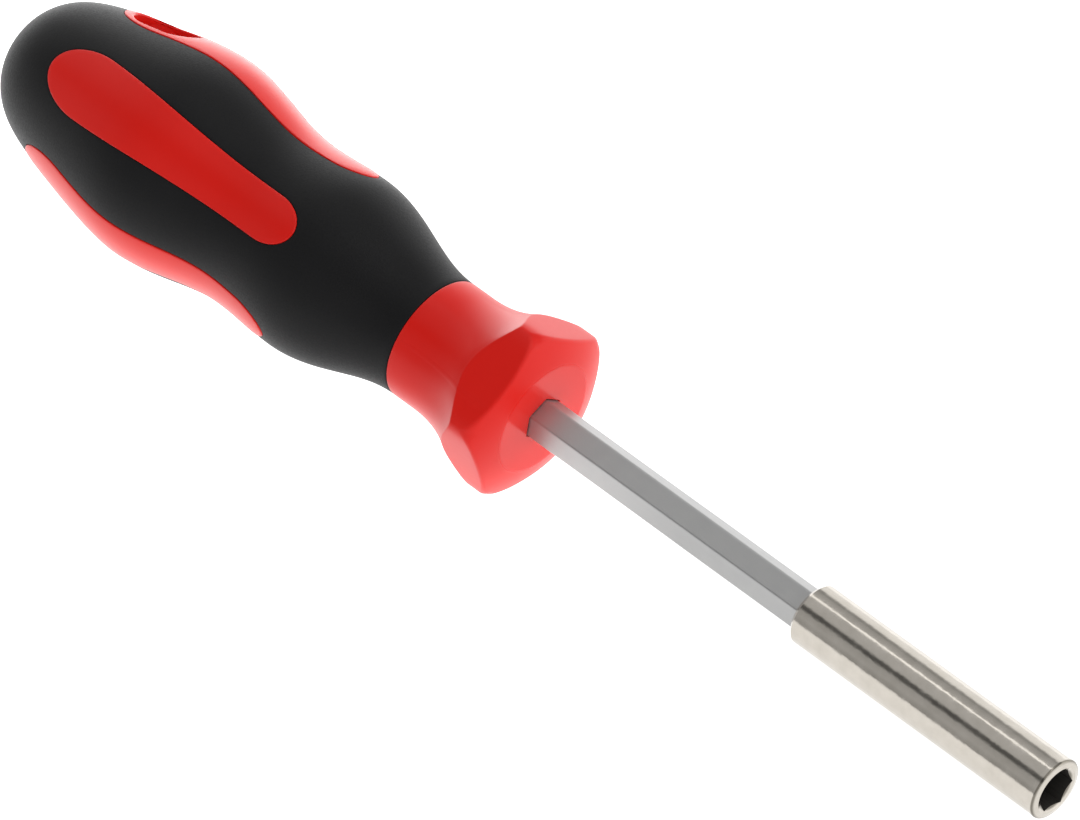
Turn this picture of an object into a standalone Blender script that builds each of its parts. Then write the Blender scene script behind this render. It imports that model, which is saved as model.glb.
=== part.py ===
"""Bit-holder screwdriver with a two-shot moulded handle.

The tool lies along +X with its bit socket at the front. Stations are distances along
the tool axis from the collar's front face, positive towards the bit. Turns are angles
about the tool axis, from straight down towards +Y.
"""

import math

import bmesh
import bpy
from mathutils import Vector

MM = 0.001

# Clearance between pieces that touch on the real tool
GAP = 0.3 * MM

# Hex shank, with swaged wings on the tang that lock it in the handle
HEX_ACROSS_FLATS = 6.35 * MM
HEX_TURN = math.radians(53.0)
SHANK_LENGTH = 56.5 * MM
TANG_LENGTH = 70.0 * MM
TANG_CHAMFER = 0.6 * MM
WING_SETBACK = 8.0 * MM
WING_LENGTH = 10.0 * MM
WING_BLEND = 3.0 * MM
WING_SPREAD = 10.0 * MM
WING_THICKNESS = 4.4 * MM
SPIGOT_DIAMETER = 5.6 * MM
SPIGOT_CHAMFER = 0.4 * MM

# Bit sleeve, with a hex socket for standard bits and a thin lip round the mouth;
# the wall and the countersink are measured outwards from the socket's corners
SLEEVE_LENGTH = 50.0 * MM
SLEEVE_WALL = 1.325 * MM
SLEEVE_EDGE = 0.6 * MM
LIP_RISE = 0.15 * MM
LIP_LENGTH = 0.8 * MM
LIP_EDGE = 0.3 * MM
SOCKET_ACROSS_FLATS = 6.45 * MM
SOCKET_TURN = math.radians(21.6)
SOCKET_DEPTH = 15.0 * MM
COUNTERSINK_WIDTH = 0.23 * MM
COUNTERSINK_DEPTH = 0.5 * MM

# Magnet at the bottom of the socket, and the spring ring that grips the bit's corners
MAGNET_DIAMETER = 5.0 * MM
MAGNET_THICKNESS = 3.0 * MM
MAGNET_CHAMFER = 0.25 * MM
RING_WIRE = 0.6 * MM
RING_REACH = 0.35 * MM
RING_OPENING = math.radians(40.0)

# Handle, from the collar's face back to the dome
FACE_RADIUS = 9.4 * MM
FACE_RISE = 3.5 * MM
SHOULDER_BULGE = 0.45 * MM
COLLAR_RADIUS = 15.7 * MM
COLLAR_APOTHEM = 13.2 * MM
RIM_WIDTH = 2.2 * MM
FLARE_LENGTH = 14.1 * MM
FLARE_CURVE = 2.2
NECK_RADIUS = 10.3 * MM
NECK_LENGTH = 3.6 * MM
FINGER_RADIUS = 15.55 * MM
FINGER_LENGTH = 22.7 * MM
WAIST_RADIUS = 14.95 * MM
WAIST_LENGTH = 10.7 * MM
PALM_RADIUS = 18.05 * MM
PALM_LENGTH = 20.5 * MM
DOME_LENGTH = 34.7 * MM
DOME_FULLNESS = 2.9
DOME_SLIMNESS = 1.4
FLAT_COUNT = 5

# Soft grip and its windows, which show the hard handle body
SKIN = 2.5 * MM
WINDOW_END_WALL = 13.6 * MM
WINDOW_LENGTH = 52.9 * MM
WINDOW_REAR_HALF_WIDTH = 5.6 * MM
WINDOW_REAR_END = 8.0 * MM
WINDOW_FRONT_HALF_WIDTH = 4.1 * MM
WINDOW_FRONT_END = 5.2 * MM

# Hanging hole, straight from the rear end of one window to that of another
HOLE_RIM = 2.1 * MM
HOLE_LENGTH = 11.4 * MM
HOLE_HALF_WIDTH = 3.2 * MM
HOLE_WINDOWS = (0, 2)

# Mesh fineness
HEX_CORNERS = 6
HANDLE_SIDES = 8 * FLAT_COUNT
SLEEVE_SIDES = 8 * HEX_CORNERS
SHANK_SIDES = 4 * HEX_CORNERS
MAGNET_SIDES = 32
RING_STEPS = 24
WIRE_SIDES = 8
DOME_STEPS = 9
PALM_STEPS = 5
WAIST_STEPS = 3
FINGER_STEPS = 7
FLARE_STEPS = 6
SHOULDER_STEPS = 4
EDGE_STEPS = 3
WINDOW_END_STEPS = 6
SHARP_ANGLE = math.radians(35.0)

# Stations worked out from the lengths
FACE = 0.0
RIM_FRONT = FACE - FACE_RISE
RIM_REAR = RIM_FRONT - RIM_WIDTH
FLARE_REAR = RIM_REAR - FLARE_LENGTH
GRIP_FRONT = FLARE_REAR - NECK_LENGTH
FINGER = GRIP_FRONT - FINGER_LENGTH
WAIST = FINGER - WAIST_LENGTH
PALM = WAIST - PALM_LENGTH
HANDLE_REAR = PALM - DOME_LENGTH
TANG_REAR = FACE - TANG_LENGTH
SLEEVE_REAR = FACE + SHANK_LENGTH
SLEEVE_FRONT = SLEEVE_REAR + SLEEVE_LENGTH
SOCKET_BOTTOM = SLEEVE_FRONT - SOCKET_DEPTH
MAGNET_REAR = SOCKET_BOTTOM - MAGNET_THICKNESS
RING_STATION = (SLEEVE_FRONT + SOCKET_BOTTOM) / 2
WINDOW_REAR = HANDLE_REAR + WINDOW_END_WALL
WINDOW_FRONT = WINDOW_REAR + WINDOW_LENGTH
HOLE_REAR = WINDOW_REAR + HOLE_RIM
HOLE_FRONT = HOLE_REAR + HOLE_LENGTH
FLAT_STEP = 2.0 * math.pi / FLAT_COUNT

# Radii worked out from the fits: the ring stands RING_REACH inside the socket's corners
SOCKET_CORNER = SOCKET_ACROSS_FLATS / 2 / math.cos(math.pi / HEX_CORNERS)
SLEEVE_RADIUS = SOCKET_CORNER + SLEEVE_WALL
SPIGOT_RADIUS = SPIGOT_DIAMETER / 2
MAGNET_RADIUS = MAGNET_DIAMETER / 2
RING_RADIUS = SOCKET_CORNER - RING_REACH + RING_WIRE / 2

# Cutters reach this far past what they cut
OVERCUT = SKIN + GAP


def clear_scene():
    """Start from an empty scene."""
    for item in list(bpy.data.objects):
        bpy.data.objects.remove(item, do_unlink=True)


def radial(turn):
    """Unit direction away from the tool axis at a turn."""
    return Vector((math.cos(turn), math.sin(turn), 0.0))


def round_loop(radius, station, sides, turn=0.0):
    """A circle of points about the tool axis, or its single centre point if it has no radius."""
    if radius <= 0.0:
        return [Vector((0.0, 0.0, station))]
    step = 2.0 * math.pi / sides
    return [radial(turn + i * step) * radius + Vector((0.0, 0.0, station)) for i in range(sides)]


def flat_loop(corners, across_flats, station, sides, turn):
    """A regular polygon about the tool axis with a corner at turn, as a circle's number of points."""
    points = []
    corner_step = 2.0 * math.pi / corners
    for i in range(sides):
        angle = 2.0 * math.pi * i / sides
        off_middle = angle % corner_step - corner_step / 2
        radius = across_flats / 2 / math.cos(off_middle)
        points.append(radial(turn + angle) * radius + Vector((0.0, 0.0, station)))
    return points


def skin(mesh, loops, closed=False):
    """Join loops of points by faces; open ends are capped unless the row of loops closes on itself."""
    rings = [[mesh.verts.new(point) for point in loop] for loop in loops]
    pairs = list(zip(rings, rings[1:]))
    if closed:
        pairs.append((rings[-1], rings[0]))
    for first, second in pairs:
        count = max(len(first), len(second))
        first = first * (count // len(first))
        second = second * (count // len(second))
        for i in range(count):
            j = (i + 1) % count
            corners = [first[i], first[j], second[j], second[i]]
            mesh.faces.new(list(dict.fromkeys(corners)))
    if not closed:
        for ring in (rings[0], rings[-1]):
            if len(ring) > 2:
                mesh.faces.new(ring)
    bmesh.ops.recalc_face_normals(mesh, faces=mesh.faces)


def revolved(points, sides, turn=0.0):
    """Loops for a list of (radius, station) points turned about the tool axis."""
    return [round_loop(radius, station, sides, turn) for radius, station in points]


def add_object(name, mesh, axis):
    """Turn a bmesh into a named object on the tool axis, smooth but for its sharp edges."""
    data = bpy.data.meshes.new(name)
    mesh.to_mesh(data)
    mesh.free()
    data.shade_smooth()
    data.set_sharp_from_angle(angle=SHARP_ANGLE)
    item = bpy.data.objects.new(name, data)
    bpy.context.scene.collection.objects.link(item)
    item.parent = axis
    return item


def add_cutter(name, mesh, axis):
    """An object that only shapes others."""
    item = add_object(name, mesh, axis)
    item.hide_render = True
    item.display_type = "WIRE"
    return item


def cut(item, cutter):
    """Take a cutter's shape out of an object."""
    step = item.modifiers.new(cutter.name, "BOOLEAN")
    step.operation = "DIFFERENCE"
    step.solver = "EXACT"
    step.object = cutter


def finish(item, colour, roughness, metallic):
    """Give an object its own material; colour is linear red, green and blue."""
    material = bpy.data.materials.new(item.name)
    material.use_nodes = True
    shader = material.node_tree.nodes["Principled BSDF"]
    shader.inputs["Base Color"].default_value = (*colour, 1.0)
    shader.inputs["Roughness"].default_value = roughness
    shader.inputs["Metallic"].default_value = metallic
    item.data.materials.append(material)


def ease(start, end, steps):
    """(radius, station) points of a smooth swell between two such points, without the first."""
    points = []
    for i in range(1, steps + 1):
        share = i / steps
        blend = (1.0 - math.cos(math.pi * share)) / 2
        radius = start[0] + (end[0] - start[0]) * blend
        station = start[1] + (end[1] - start[1]) * share
        points.append((radius, station))
    return points


def arc(start, end, bulge, steps):
    """(radius, station) points of an arc that stands off its chord by bulge, without the first."""
    first = Vector(start)
    chord = Vector(end) - first
    side = Vector((-chord.y, chord.x)).normalized()
    half_angle = 2.0 * math.atan2(2.0 * abs(bulge), chord.length)
    radius = chord.length / 2 / math.sin(half_angle)
    side *= math.copysign(1.0, bulge)
    centre = first + chord / 2 - side * radius * math.cos(half_angle)
    points = []
    for i in range(1, steps + 1):
        angle = half_angle * (2.0 * i / steps - 1.0)
        point = centre + side * radius * math.cos(angle) + chord.normalized() * radius * math.sin(angle)
        points.append((point.x, point.y))
    return points


def dome_radius(station, inset):
    """The dome's radius at a station between its pole and the palm swell, pulled in by inset."""
    share = min(1.0, (PALM - station) / (DOME_LENGTH - inset))
    return (PALM_RADIUS - inset) * (1.0 - share ** DOME_SLIMNESS) ** (1.0 / DOME_FULLNESS)


def grip_outline(inset):
    """(radius, station) points from the dome's pole to the front of the grip, pulled in by inset."""
    palm = (PALM_RADIUS - inset, PALM)
    waist = (WAIST_RADIUS - inset, WAIST)
    finger = (FINGER_RADIUS - inset, FINGER)
    front = (NECK_RADIUS - inset, GRIP_FRONT)
    points = [(0.0, HANDLE_REAR + inset)]
    for i in range(1, DOME_STEPS):
        station = PALM - (DOME_LENGTH - inset) * math.cos(math.pi / 2 * i / DOME_STEPS)
        points.append((dome_radius(station, inset), station))
    points.append(palm)
    points += ease(palm, waist, PALM_STEPS)
    points += ease(waist, finger, WAIST_STEPS)
    points += ease(finger, front, FINGER_STEPS)
    return points


def skin_shell(inner_inset, outer_inset, front):
    """Loops of a shell between two insets of the grip's outline, carried forward to a front station."""
    outer = grip_outline(outer_inset)
    inner = grip_outline(inner_inset)
    if front > GRIP_FRONT:
        outer.append((outer[-1][0], front))
        inner.append((inner[-1][0], front))
    return revolved(outer + inner[::-1], HANDLE_SIDES)


def oval(rear, front, rear_half, front_half, rear_end, front_end, margin):
    """(station, offset) points round a long window with elliptic ends, pulled in by margin."""
    points = []
    for i in range(WINDOW_END_STEPS + 1):
        angle = math.pi * (0.5 + i / WINDOW_END_STEPS)
        station = rear + rear_end + (rear_end - margin) * math.cos(angle)
        points.append((station, (rear_half - margin) * math.sin(angle)))
    for i in range(WINDOW_END_STEPS + 1):
        angle = math.pi * (i / WINDOW_END_STEPS - 0.5)
        station = front - front_end + (front_end - margin) * math.cos(angle)
        points.append((station, (front_half - margin) * math.sin(angle)))
    return points


def window(margin):
    """The outline of one grip window."""
    return oval(
        WINDOW_REAR, WINDOW_FRONT, WINDOW_REAR_HALF_WIDTH, WINDOW_FRONT_HALF_WIDTH,
        WINDOW_REAR_END, WINDOW_FRONT_END, margin,
    )


def prism(mesh, outline, inner, outer, turn):
    """A straight prism of an outline, standing away from the tool axis at a turn."""
    out = radial(turn)
    across = radial(turn + math.pi / 2)
    flat = [across * offset + Vector((0.0, 0.0, station)) for station, offset in outline]
    skin(mesh, [[point + out * height for point in flat] for height in (inner, outer)])


def land_prisms(margin):
    """Prisms over every window, pulled in by margin."""
    mesh = bmesh.new()
    root = WINDOW_REAR_HALF_WIDTH / math.tan(FLAT_STEP / 2) + 2.0 * GAP
    top = PALM_RADIUS + OVERCUT
    for i in range(FLAT_COUNT):
        prism(mesh, window(margin), root, top, i * FLAT_STEP)
    return mesh


def hex_loop(across_flats, station):
    """The hex bar's section."""
    return flat_loop(HEX_CORNERS, across_flats, station, SHANK_SIDES, HEX_TURN)


def wing_loop(spread, thickness, station):
    """The hex bar's section where it is swaged flat, spread towards one pair of corners."""
    along = radial(HEX_TURN)
    across = radial(HEX_TURN + math.pi / 2)
    spread_share = spread * math.cos(math.pi / HEX_CORNERS) / HEX_ACROSS_FLATS
    thin_share = thickness / HEX_ACROSS_FLATS
    points = []
    for point in hex_loop(HEX_ACROSS_FLATS, station):
        flat = along * point.dot(along) * spread_share + across * point.dot(across) * thin_share
        points.append(flat + Vector((0.0, 0.0, station)))
    return points


def tang_loops(clearance):
    """Loops of the tang from its rear end to the front of its wings, grown by clearance."""
    size = HEX_ACROSS_FLATS + 2.0 * clearance
    rear = TANG_REAR - clearance
    wing_rear = TANG_REAR + WING_SETBACK - clearance
    wing_front = wing_rear + WING_LENGTH + 2.0 * clearance
    spread = WING_SPREAD + 2.0 * clearance
    thickness = WING_THICKNESS + 2.0 * clearance
    return [
        hex_loop(size - 2.0 * TANG_CHAMFER, rear),
        hex_loop(size, rear + TANG_CHAMFER),
        hex_loop(size, wing_rear - WING_BLEND),
        wing_loop(spread, thickness, wing_rear),
        wing_loop(spread, thickness, wing_front),
        hex_loop(size, wing_front + WING_BLEND),
    ]


def build_shank(axis):
    """Hex bar with a winged tang in the handle and a round spigot in the sleeve."""
    mesh = bmesh.new()
    shoulder = SLEEVE_REAR - GAP
    spigot_front = MAGNET_REAR - GAP
    spigot = [
        (SPIGOT_RADIUS, shoulder),
        (SPIGOT_RADIUS, spigot_front - SPIGOT_CHAMFER),
        (SPIGOT_RADIUS - SPIGOT_CHAMFER, spigot_front),
    ]
    loops = tang_loops(0.0)
    loops.append(hex_loop(HEX_ACROSS_FLATS, shoulder))
    loops += revolved(spigot, SHANK_SIDES, HEX_TURN)
    skin(mesh, loops)
    item = add_object("hex_shank", mesh, axis)
    finish(item, (0.53, 0.54, 0.55), 0.32, 1.0)


def socket_loop(station):
    """The hex socket's section."""
    return flat_loop(HEX_CORNERS, SOCKET_ACROSS_FLATS, station, SLEEVE_SIDES, SOCKET_TURN)


def build_sleeve(axis):
    """Turned sleeve: stepped round bore at the rear, hex socket with a ring groove at the front."""
    lip = SLEEVE_RADIUS + LIP_RISE
    lip_rear = SLEEVE_FRONT - LIP_LENGTH
    edge_bulge = SLEEVE_EDGE * (1.0 - math.sqrt(0.5))
    outside = [(SLEEVE_RADIUS - SLEEVE_EDGE, SLEEVE_REAR)]
    outside += arc(outside[0], (SLEEVE_RADIUS, SLEEVE_REAR + SLEEVE_EDGE), edge_bulge, EDGE_STEPS)
    outside += [
        (SLEEVE_RADIUS, lip_rear - LIP_RISE),
        (lip, lip_rear),
        (lip, SLEEVE_FRONT - LIP_EDGE),
        (lip - LIP_EDGE, SLEEVE_FRONT),
        (SOCKET_CORNER + COUNTERSINK_WIDTH, SLEEVE_FRONT),
    ]
    groove_half = RING_WIRE / 2 + GAP
    groove_radius = RING_RADIUS + groove_half
    groove_front = RING_STATION + groove_half
    groove_rear = RING_STATION - groove_half
    bore = [
        (MAGNET_RADIUS + GAP, SOCKET_BOTTOM),
        (MAGNET_RADIUS + GAP, MAGNET_REAR),
        (SPIGOT_RADIUS + GAP, MAGNET_REAR),
        (SPIGOT_RADIUS + GAP, SLEEVE_REAR),
    ]
    loops = revolved(outside, SLEEVE_SIDES, SOCKET_TURN)
    loops += [socket_loop(SLEEVE_FRONT - COUNTERSINK_DEPTH), socket_loop(groove_front)]
    groove = [(groove_radius, groove_front), (groove_radius, groove_rear)]
    loops += revolved(groove, SLEEVE_SIDES, SOCKET_TURN)
    loops += [socket_loop(groove_rear), socket_loop(SOCKET_BOTTOM)]
    loops += revolved(bore, SLEEVE_SIDES, SOCKET_TURN)
    mesh = bmesh.new()
    skin(mesh, loops, closed=True)
    item = add_object("bit_sleeve", mesh, axis)
    finish(item, (0.44, 0.42, 0.38), 0.26, 1.0)


def build_magnet(axis):
    """Disc magnet behind the socket, flush with the socket's bottom."""
    points = [
        (MAGNET_RADIUS - MAGNET_CHAMFER, MAGNET_REAR),
        (MAGNET_RADIUS, MAGNET_REAR + MAGNET_CHAMFER),
        (MAGNET_RADIUS, SOCKET_BOTTOM - MAGNET_CHAMFER),
        (MAGNET_RADIUS - MAGNET_CHAMFER, SOCKET_BOTTOM),
    ]
    mesh = bmesh.new()
    skin(mesh, revolved(points, MAGNET_SIDES))
    item = add_object("magnet", mesh, axis)
    finish(item, (0.36, 0.36, 0.37), 0.35, 1.0)


def build_ring(axis):
    """Open spring ring of round wire in the sleeve's groove."""
    wire = RING_WIRE / 2
    sweep = 2.0 * math.pi - RING_OPENING
    loops = []
    for i in range(RING_STEPS + 1):
        turn = SOCKET_TURN + RING_OPENING / 2 + sweep * i / RING_STEPS
        loop = []
        for k in range(WIRE_SIDES):
            angle = 2.0 * math.pi * (k + 0.5) / WIRE_SIDES
            height = Vector((0.0, 0.0, RING_STATION + wire * math.sin(angle)))
            loop.append(radial(turn) * (RING_RADIUS + wire * math.cos(angle)) + height)
        loops.append(loop)
    mesh = bmesh.new()
    skin(mesh, loops)
    item = add_object("retaining_ring", mesh, axis)
    finish(item, (0.20, 0.20, 0.21), 0.4, 1.0)


def hole_cutter(axis):
    """The hanging hole, on the chord between the middles of its two windows."""
    half = HOLE_HALF_WIDTH
    first, second = (number * FLAT_STEP for number in HOLE_WINDOWS)
    to_chord = (first + second) / 2
    window_radius = dome_radius((HOLE_REAR + HOLE_FRONT) / 2, 0.0)
    chord_offset = window_radius * math.cos((second - first) / 2)
    ends = oval(HOLE_REAR, HOLE_FRONT, half, half, half, half, 0.0)
    outline = [(station, offset + chord_offset) for station, offset in ends]
    reach = PALM_RADIUS + OVERCUT
    mesh = bmesh.new()
    prism(mesh, outline, -reach, reach, to_chord - math.pi / 2)
    return add_cutter("hanging_hole", mesh, axis)


def build_body(axis):
    """Hard handle body: core, flush window lands, neck and five-sided collar, moulded on the tang."""
    points = grip_outline(0.0)
    for i in range(FLARE_STEPS + 1):
        share = i / FLARE_STEPS
        radius = NECK_RADIUS + (COLLAR_RADIUS - NECK_RADIUS) * share ** FLARE_CURVE
        points.append((radius, FLARE_REAR + FLARE_LENGTH * share))
    points.append((COLLAR_RADIUS, RIM_FRONT))
    points += arc(points[-1], (FACE_RADIUS, FACE), -SHOULDER_BULGE, SHOULDER_STEPS)
    points.append((0.0, FACE))
    mesh = bmesh.new()
    skin(mesh, revolved(points, HANDLE_SIDES))
    body = add_object("handle_body", mesh, axis)

    corner = FLAT_STEP / 2
    ends = (FLARE_REAR, FACE + OVERCUT)
    outer = 2.0 * (COLLAR_RADIUS + OVERCUT)
    inner = 2.0 * COLLAR_APOTHEM
    loops = [flat_loop(FLAT_COUNT, outer, end, FLAT_COUNT, corner) for end in ends]
    loops += [flat_loop(FLAT_COUNT, inner, end, FLAT_COUNT, corner) for end in ends[::-1]]
    mesh = bmesh.new()
    skin(mesh, loops, closed=True)
    cut(body, add_cutter("collar_flats", mesh, axis))

    mesh = bmesh.new()
    skin(mesh, skin_shell(SKIN + GAP, -OVERCUT, GRIP_FRONT + GAP))
    skin_space = add_cutter("skin_space", mesh, axis)
    cut(skin_space, add_cutter("lands", land_prisms(GAP), axis))
    cut(body, skin_space)

    cut(body, hole_cutter(axis))

    mesh = bmesh.new()
    skin(mesh, tang_loops(GAP) + [hex_loop(HEX_ACROSS_FLATS + 2.0 * GAP, FACE + OVERCUT)])
    cut(body, add_cutter("tang_space", mesh, axis))
    finish(body, (0.62, 0.016, 0.011), 0.34, 0.0)


def build_grip(axis):
    """Soft overmoulded skin on the handle body, with its five windows."""
    mesh = bmesh.new()
    skin(mesh, skin_shell(SKIN, 0.0, GRIP_FRONT))
    grip = add_object("soft_grip", mesh, axis)
    cut(grip, add_cutter("windows", land_prisms(0.0), axis))
    finish(grip, (0.014, 0.014, 0.015), 0.6, 0.0)


clear_scene()
tool_axis = bpy.data.objects.new("tool_axis", None)
bpy.context.scene.collection.objects.link(tool_axis)
tool_axis.location = (-(HANDLE_REAR + SLEEVE_FRONT) / 2, 0.0, PALM_RADIUS)
tool_axis.rotation_euler = (0.0, math.pi / 2, 0.0)
build_body(tool_axis)
build_grip(tool_axis)
build_shank(tool_axis)
build_sleeve(tool_axis)
build_magnet(tool_axis)
build_ring(tool_axis)
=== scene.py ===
import math
import bpy
import numpy as np
from mathutils import Matrix, Vector


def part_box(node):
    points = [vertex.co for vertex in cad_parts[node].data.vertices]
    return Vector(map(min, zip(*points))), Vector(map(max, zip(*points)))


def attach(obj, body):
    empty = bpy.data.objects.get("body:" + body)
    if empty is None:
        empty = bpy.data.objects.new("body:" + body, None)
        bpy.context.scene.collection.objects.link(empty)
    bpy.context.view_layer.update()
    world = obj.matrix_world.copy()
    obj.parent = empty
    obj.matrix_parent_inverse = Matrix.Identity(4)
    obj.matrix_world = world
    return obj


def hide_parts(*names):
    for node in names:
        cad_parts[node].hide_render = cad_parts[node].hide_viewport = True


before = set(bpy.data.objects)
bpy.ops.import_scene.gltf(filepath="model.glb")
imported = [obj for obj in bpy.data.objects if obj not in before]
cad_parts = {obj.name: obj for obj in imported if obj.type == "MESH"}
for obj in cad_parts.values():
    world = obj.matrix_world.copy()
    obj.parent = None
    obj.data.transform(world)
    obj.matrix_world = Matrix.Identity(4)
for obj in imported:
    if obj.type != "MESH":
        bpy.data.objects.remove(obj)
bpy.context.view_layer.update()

# Hex shank
# A quarter-inch hex bar of drawn steel with a satin chrome plating. Its rear end, swaged into two
# wings, is moulded into the handle, and a round spigot on its front end is pressed into the sleeve.
MM = 0.001
NEAR = 0.001 * MM
HEX_SIDES = 6
HEX_SECTOR = 2 * math.pi / HEX_SIDES
HEX_ACROSS_FLATS = 6.35 * MM
HEX_CORNER_RADIUS = HEX_ACROSS_FLATS / math.sqrt(3)
HEX_CORNER_TURN = math.radians(53)
HEX_EDGE_ROUNDING = 0.2 * MM
HEX_EDGE_STEPS = 3
BAR_CREASE = math.radians(9)
TANG_CHAMFER = 0.6 * MM
WING_SETBACK = 8 * MM
WING_LENGTH = 10 * MM
WING_BLEND = 3 * MM
WING_SPREAD = 10 * MM
WING_THICKNESS = 4.4 * MM
SPIGOT_RADIUS = 2.8 * MM
SPIGOT_SIDES = 48
SHOULDER_CLEARANCE = 0.05 * MM

tang_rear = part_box("hex_shank")[0].x
spigot_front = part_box("hex_shank")[1].x
sleeve_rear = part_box("bit_sleeve")[0].x
sleeve_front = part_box("bit_sleeve")[1].x
axis_height = (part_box("bit_sleeve")[0].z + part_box("bit_sleeve")[1].z) / 2
wing_rear = tang_rear + WING_SETBACK
wing_front = wing_rear + WING_LENGTH
bar_shoulder = sleeve_rear - SHOULDER_CLEARANCE


def linear(code):
    """The linear colour of an sRGB hex value."""
    levels = [int(code[i:i + 2], 16) / 255 for i in (1, 3, 5)]
    return [c / 12.92 if c <= 0.04045 else ((c + 0.055) / 1.055) ** 2.4 for c in levels] + [1.0]


def fill_sockets(tree, node, values):
    """Fill a node's sockets with values or with other nodes' outputs."""
    for socket, value in values.items():
        if isinstance(value, bpy.types.NodeSocket):
            tree.links.new(value, node.inputs[socket])
        else:
            node.inputs[socket].default_value = value


def add_node(tree, kind, values=None, **settings):
    """Add a node, set its properties and fill its sockets."""
    node = tree.nodes.new(kind)
    for name, value in settings.items():
        setattr(node, name, value)
    fill_sockets(tree, node, values or {})
    return node


def new_material(name):
    """An empty node material, with its tree, its shader and the coordinates of the piece it is on."""
    material = bpy.data.materials.new(name)
    material.use_nodes = True
    tree = material.node_tree
    place = add_node(tree, "ShaderNodeTexCoord").outputs["Object"]
    return material, tree, tree.nodes["Principled BSDF"], place


def pick(piece, kind, wanted):
    """In edit mode, select the edges or faces whose corner points pass a test."""
    bpy.ops.mesh.select_mode(type=kind)
    bpy.ops.mesh.select_all(action="DESELECT")
    bpy.ops.object.mode_set(mode="OBJECT")
    parts = piece.data.edges if kind == "EDGE" else piece.data.polygons
    for part in parts:
        part.select = wanted([piece.data.vertices[i].co for i in part.vertices])
    bpy.ops.object.mode_set(mode="EDIT")


def pull(height, spread=(1, 1)):
    """Extrude the selected end up to a height, and scale it about the tool's axis."""
    bpy.ops.object.mode_set(mode="OBJECT")
    level = next(v.co.z for v in bpy.context.object.data.vertices if v.select)
    bpy.ops.object.mode_set(mode="EDIT")
    bpy.ops.mesh.extrude_region_move(TRANSFORM_OT_translate={"value": (0, 0, height - level)})
    bpy.ops.transform.resize(value=(spread[0], spread[1], 1), center_override=(0, 0, height))


def lay_along_tool(piece, turn=0.0):
    """Lay a piece that was modelled upright along the tool: up becomes forward, +X becomes down."""
    upright_to_tool = Matrix.Rotation(math.pi / 2, 4, "Y") @ Matrix.Rotation(turn, 4, "Z")
    piece.data.transform(Matrix.Translation((0, 0, axis_height)) @ upright_to_tool)


bpy.ops.object.select_all(action="DESELECT")
bpy.ops.mesh.primitive_circle_add(
    vertices=HEX_SIDES, radius=HEX_CORNER_RADIUS - TANG_CHAMFER, fill_type="NGON",
    location=(0, 0, tang_rear))
plated_shank = bpy.context.object
plated_shank.name = "plated_shank"
bpy.ops.object.transform_apply(location=True)
bpy.ops.object.mode_set(mode="EDIT")
full = HEX_CORNER_RADIUS / (HEX_CORNER_RADIUS - TANG_CHAMFER)
widen = (WING_SPREAD / HEX_ACROSS_FLATS, WING_THICKNESS / (2 * HEX_CORNER_RADIUS))
pull(tang_rear + TANG_CHAMFER, (full, full))
pull(wing_rear)
pull(wing_rear + WING_BLEND, widen)
pull(wing_front - WING_BLEND)
pull(wing_front, (1 / widen[0], 1 / widen[1]))
pull(bar_shoulder)
bpy.ops.mesh.delete(type="ONLY_FACE")
bpy.ops.mesh.primitive_circle_add(
    vertices=SPIGOT_SIDES, radius=SPIGOT_RADIUS, location=(0, 0, bar_shoulder))
pick(plated_shank, "EDGE", lambda ends: all(abs(p.z - bar_shoulder) < NEAR for p in ends))
bpy.ops.mesh.bridge_edge_loops()
pick(plated_shank, "EDGE", lambda ends: all(
    abs(p.z - bar_shoulder) < NEAR and abs(p.xy.length - SPIGOT_RADIUS) < NEAR for p in ends))
bpy.ops.mesh.extrude_edges_move(TRANSFORM_OT_translate={"value": (0, 0, spigot_front - bar_shoulder)})
bpy.ops.mesh.edge_face_add()
pick(plated_shank, "EDGE", lambda ends: abs(ends[0].z - ends[1].z) > TANG_CHAMFER / 2 and all(
    p.z < bar_shoulder + NEAR for p in ends))
bpy.ops.mesh.bevel(offset=HEX_EDGE_ROUNDING, segments=HEX_EDGE_STEPS, affect="EDGES")
bpy.ops.mesh.select_all(action="SELECT")
bpy.ops.mesh.normals_make_consistent(inside=False)
bpy.ops.object.mode_set(mode="OBJECT")
bpy.ops.object.shade_smooth_by_angle(angle=BAR_CREASE)
lay_along_tool(plated_shank, HEX_CORNER_TURN - math.pi / 2)

# Satin chrome over a drawn bar: a soft grey mirror that is duller along faint lines from the drawing,
# with slight clouds in the plating's tint.
PLATING_LINE_SPACING = 0.12 * MM
PLATING_LINE_STRETCH = 0.02
PLATING_CLOUD_SIZE = 3 * MM
satin_chrome, tree, shader, place = new_material("satin_chrome_on_drawn_steel")
along = add_node(tree, "ShaderNodeMapping", {
    "Vector": place, "Scale": (PLATING_LINE_STRETCH, 1, 1)}).outputs["Vector"]
lines = add_node(tree, "ShaderNodeTexNoise", {
    "Vector": along, "Scale": 1 / PLATING_LINE_SPACING, "Detail": 3.0}).outputs["Fac"]
clouds = add_node(tree, "ShaderNodeTexNoise", {
    "Vector": place, "Scale": 1 / PLATING_CLOUD_SIZE, "Detail": 4.0}).outputs["Fac"]
tint = add_node(tree, "ShaderNodeMix", {
    "Factor": clouds, "A": linear("#AAAAAA"), "B": linear("#B2B2B1")}, data_type="RGBA")
dullness = add_node(tree, "ShaderNodeMapRange", {
    "Value": lines, "From Min": 0.3, "From Max": 0.7, "To Min": 0.32, "To Max": 0.41})
relief = add_node(tree, "ShaderNodeBump", {"Height": lines, "Strength": 0.12, "Distance": 0.01 * MM})
fill_sockets(tree, shader, {
    "Base Color": tint.outputs["Result"], "Metallic": 0.8,
    "Roughness": dullness.outputs["Result"], "Normal": relief.outputs["Normal"]})
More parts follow.
